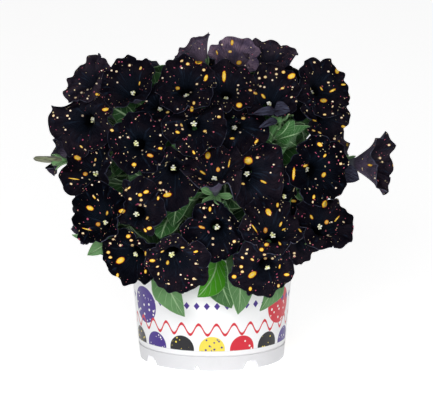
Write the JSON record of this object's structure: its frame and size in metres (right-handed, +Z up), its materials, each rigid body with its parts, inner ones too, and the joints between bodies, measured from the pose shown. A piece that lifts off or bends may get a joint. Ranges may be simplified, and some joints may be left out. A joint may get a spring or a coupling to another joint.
{
  "type": "potted petunia",
  "caption": "Petunia in full bloom in a round, notched-foot plastic nursery pot: a dome of dark, speckled trumpet flowers over leafy stems that spill over the rim.",
  "frame": {"origin": "on the pot's axis, on the ground under its feet", "axes": "+Z up along the pot's axis; the front of the plant, with the side flower to the viewer's right, faces -Y; +X is to the viewer's right"},
  "size_m": [0.2793, 0.2443, 0.2522],
  "materials": {
    "pot": "satin",
    "peat": "matte",
    "leaves": "satin",
    "petals": "satin",
    "bud": "matte"
  },
  "bodies": {
    "root": {"bloom_01": "petals", "bloom_02": "petals", "bloom_03": "petals", "bloom_04": "petals", "bloom_05": "petals", "bloom_06": "petals", "bloom_07": "petals", "bloom_08": "petals", "bloom_09": "petals", "bloom_10": "petals", "bloom_11": "petals", "bloom_12": "petals", "bloom_13": "petals", "bloom_14": "petals", "bloom_15": "petals", "bloom_16": "petals", "bloom_17": "petals", "bloom_18": "petals", "bloom_19": "petals", "bloom_20": "petals", "bloom_21": "petals", "bloom_22": "petals", "bloom_23": "petals", "bloom_24": "petals", "bloom_25": "petals", "bloom_26": "petals", "bloom_27": "petals", "bloom_28": "petals", "bloom_29": "petals", "bloom_30": "petals", "bloom_31": "petals", "bloom_32": "petals", "bloom_33": "petals", "bloom_34": "petals", "bloom_35": "petals", "bloom_36": "petals", "bloom_37": "petals", "bloom_38": "petals", "bloom_39": "petals", "bloom_40": "petals", "bloom_41": "petals", "bloom_42": "petals", "bloom_43": "petals", "bloom_44": "petals", "bloom_45": "petals", "bloom_46": "petals", "bloom_47": "petals", "bloom_48": "petals", "bloom_49": "petals", "bloom_50": "petals", "bud": "bud", "leafy_stem_1": "leaves", "leafy_stem_2": "leaves", "leafy_stem_3": "leaves", "leafy_stem_4": "leaves", "leafy_stem_5": "leaves", "leafy_stem_6": "leaves", "peat": "peat", "pot": "pot"}
  },
  "joints": []
}
